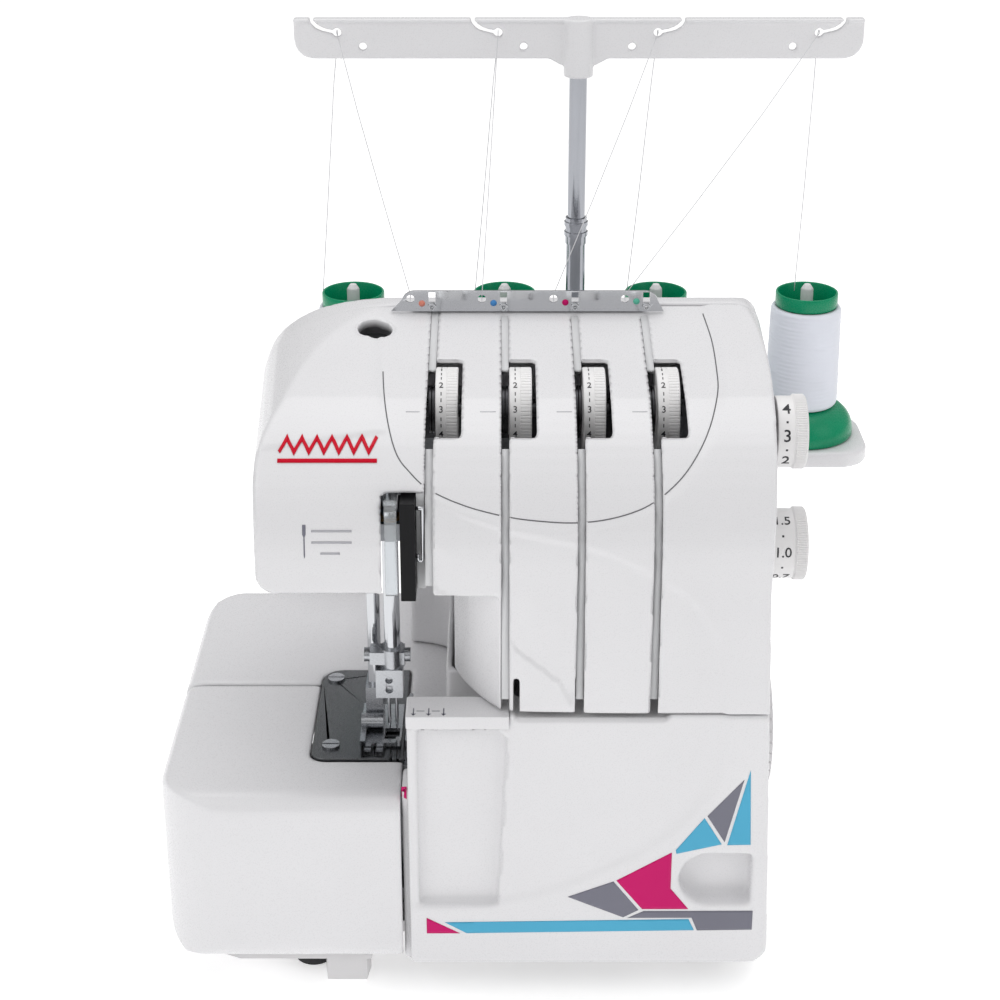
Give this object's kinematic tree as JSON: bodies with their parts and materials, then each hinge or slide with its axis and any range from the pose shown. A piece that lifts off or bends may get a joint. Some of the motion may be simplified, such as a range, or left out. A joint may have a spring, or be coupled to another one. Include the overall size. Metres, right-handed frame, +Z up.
{
  "type": "overlock sewing machine",
  "caption": "Domestic overlock machine with a row of tension dials, hinged looper cover, swinging cloth plate, sliding thread antenna and thread cones on a rear stand.",
  "frame": {"origin": "centre of the whole machine's bounding box in plan, at the table under the rubber feet", "axes": "+X to the operator's right, +Y towards the spool stand at the back, +Z up"},
  "size_m": [0.34, 0.2668, 0.4015],
  "materials": {
    "white_shell": "smooth moulded shell, satin",
    "white_small": "moulded, semi-gloss",
    "channel_grey": "satin light grey lining",
    "black_plastic": "fine matte texture",
    "clear_plastic": "clear moulded plastic",
    "foot_rubber": "matte",
    "cast_frame": "die cast, dull",
    "bush_bronze": "sintered, matte",
    "steel": "ground and nickelled",
    "bright_chrome": "polished",
    "motor_paint": "semi-gloss paint",
    "screw_black": "blackened",
    "green_cone": "smooth, wound with white thread",
    "thread": "twisted sewing thread"
  },
  "bodies": {
    "machine": {"base_tray": "white_shell", "rubber_feet": "foot_rubber", "main_frame": "cast_frame", "front_cover": "white_shell", "thread_channels": "channel_grey", "face_cover": "white_shell", "rear_cover": "white_shell", "side_cover": "white_shell", "bed_cover": "white_shell", "needle_plate": "steel", "machine_screws": "steel", "lower_knife": "steel", "guide_plate": "bright_chrome", "tension_bracket": "steel", "tension_discs": "bright_chrome", "needle_guard": "clear_plastic", "take_up_cover": "black_plastic", "wire_hook": "bright_chrome", "spool_stand": "white_shell", "spool_pins": "white_small", "antenna_lower_tube": "bright_chrome", "motor": "motor_paint", "drive_belt": "foot_rubber", "power_inlet": "black_plastic", "lamp_lens": "clear_plastic", "bushes": "bush_bronze", "hinge_pin": "steel", "threads": "thread"},
    "cover_rod": {"cover_hinge_rod": "steel"},
    "looper_door": {"looper_cover": "white_shell", "seam_guide": "white_shell"},
    "cloth_table": {"cloth_plate": "white_shell"},
    "needle_drive": {"needle_bar": "bright_chrome", "needle_clamp": "steel", "needles": "bright_chrome"},
    "lifter": {"presser_lifter": "black_plastic"},
    "presser": {"presser_bar": "bright_chrome", "presser_foot": "steel"},
    "antenna": {"antenna_upper_tube": "bright_chrome", "antenna_bar": "white_small"},
    "shaft": {"main_shaft": "steel", "drive_pulley": "black_plastic", "handwheel": "white_small"},
    "motor_rotor": {"motor_pulley": "steel"},
    "dial_1": {"tension_dial_1": "white_small"},
    "dial_2": {"tension_dial_2": "white_small"},
    "dial_3": {"tension_dial_3": "white_small"},
    "dial_4": {"tension_dial_4": "white_small"},
    "length_dial": {"stitch_length_dial": "white_small"},
    "feed_dial": {"differential_feed_dial": "white_small"},
    "cone_1": {"spool_1": "green_cone"},
    "cone_2": {"spool_2": "green_cone"},
    "cone_3": {"spool_3": "green_cone"},
    "cone_4": {"spool_4": "green_cone"},
    "looper_upper": {"upper_looper": "bright_chrome"},
    "looper_lower": {"lower_looper": "bright_chrome"},
    "knife": {"upper_knife": "steel"},
    "feed": {"feed_dogs": "steel"},
    "screw": {"pressure_screw": "screw_black"},
    "switch": {"power_switch": "black_plastic"}
  },
  "joints": [
    {"name": "looper_cover_slide", "type": "slide", "parent": "machine", "child": "cover_rod", "axis": [1, 0, 0], "range_m": [0, 0.008]},
    {"name": "looper_cover_hinge", "type": "hinge", "parent": "cover_rod", "child": "looper_door", "pos_m": [0.011, -0.1225, 0.02], "axis": [1, 0, 0], "range_deg": [0, 80]},
    {"name": "cloth_plate_hinge", "type": "hinge", "parent": "machine", "child": "cloth_table", "pos_m": [-0.1665, -0.0361, 0.06], "axis": [0, 0, -1], "range_deg": [0, 90]},
    {"name": "needle_bar_slide", "type": "slide", "parent": "machine", "child": "needle_drive", "axis": [0, 0, 1], "range_m": [-0.012, 0.014]},
    {"name": "antenna_slide", "type": "slide", "parent": "machine", "child": "antenna", "axis": [0, 0, 1], "range_m": [-0.066, 0], "deforming": ["threads"]},
    {"name": "presser_lifter_hinge", "type": "hinge", "parent": "machine", "child": "lifter", "pos_m": [-0.076, -0.0085, 0.208], "axis": [1, 0, 0], "range_deg": [0, 35]},
    {"name": "presser_slide", "type": "slide", "parent": "machine", "child": "presser", "axis": [0, 0, 1], "range_m": [0, 0.006]},
    {"name": "main_shaft_spin", "type": "hinge", "parent": "machine", "child": "shaft", "pos_m": [0.041, -0.0125, 0.072], "axis": [1, 0, 0], "continuous": true},
    {"name": "motor_spin", "type": "hinge", "parent": "machine", "child": "motor_rotor", "pos_m": [0.061, 0.0275, 0.056], "axis": [1, 0, 0], "continuous": true},
    {"name": "tension_dial_1_turn", "type": "hinge", "parent": "machine", "child": "dial_1", "pos_m": [-0.0415, -0.064, 0.2573], "axis": [1, 0, 0], "range_deg": [-120, 120]},
    {"name": "tension_dial_2_turn", "type": "hinge", "parent": "machine", "child": "dial_2", "pos_m": [-0.0099, -0.064, 0.2573], "axis": [1, 0, 0], "range_deg": [-120, 120]},
    {"name": "tension_dial_3_turn", "type": "hinge", "parent": "machine", "child": "dial_3", "pos_m": [0.0217, -0.064, 0.2573], "axis": [1, 0, 0], "range_deg": [-120, 120]},
    {"name": "tension_dial_4_turn", "type": "hinge", "parent": "machine", "child": "dial_4", "pos_m": [0.0533, -0.064, 0.2573], "axis": [1, 0, 0], "range_deg": [-120, 120]},
    {"name": "stitch_length_turn", "type": "hinge", "parent": "machine", "child": "length_dial", "pos_m": [0.101, -0.0775, 0.253], "axis": [1, 0, 0], "range_deg": [-100, 100]},
    {"name": "differential_feed_turn", "type": "hinge", "parent": "machine", "child": "feed_dial", "pos_m": [0.101, -0.0775, 0.1998], "axis": [1, 0, 0], "range_deg": [-100, 100]},
    {"name": "spool_1_spin", "type": "hinge", "parent": "machine", "child": "cone_1", "pos_m": [-0.0937, 0.0975, 0.21], "axis": [0, 0, 1], "continuous": true},
    {"name": "spool_2_spin", "type": "hinge", "parent": "machine", "child": "cone_2", "pos_m": [-0.0167, 0.0975, 0.21], "axis": [0, 0, 1], "continuous": true},
    {"name": "spool_3_spin", "type": "hinge", "parent": "machine", "child": "cone_3", "pos_m": [0.0603, 0.0975, 0.21], "axis": [0, 0, 1], "continuous": true},
    {"name": "spool_4_spin", "type": "hinge", "parent": "machine", "child": "cone_4", "pos_m": [0.1373, 0.0975, 0.21], "axis": [0, 0, 1], "continuous": true},
    {"name": "upper_looper_swing", "type": "hinge", "parent": "machine", "child": "looper_upper", "pos_m": [-0.011, -0.1005, 0.06], "axis": [0, 1, 0], "range_deg": [-12, 12]},
    {"name": "lower_looper_swing", "type": "hinge", "parent": "machine", "child": "looper_lower", "pos_m": [-0.043, -0.0865, 0.052], "axis": [0, 1, 0], "range_deg": [-10, 10]},
    {"name": "upper_knife_slide", "type": "slide", "parent": "machine", "child": "knife", "axis": [0, 0, 1], "range_m": [-0.003, 0.005]},
    {"name": "feed_dog_slide", "type": "slide", "parent": "machine", "child": "feed", "axis": [0, 1, 0], "range_m": [-0.0015, 0.0015]},
    {"name": "pressure_screw_turn", "type": "hinge", "parent": "machine", "child": "screw", "pos_m": [-0.075, -0.0245, 0.26], "axis": [0, 0, 1], "range_deg": [-180, 180]},
    {"name": "power_switch_rock", "type": "hinge", "parent": "machine", "child": "switch", "pos_m": [0.095, -0.0655, 0.05], "axis": [0, 0, 1], "range_deg": [-76, 0]}
  ],
  "couplings": [
    {"joint": "presser_lifter_hinge", "follows": "presser_slide", "rad_per_m": 101.8},
    {"joint": "motor_spin", "follows": "main_shaft_spin", "ratio": 3}
  ]
}
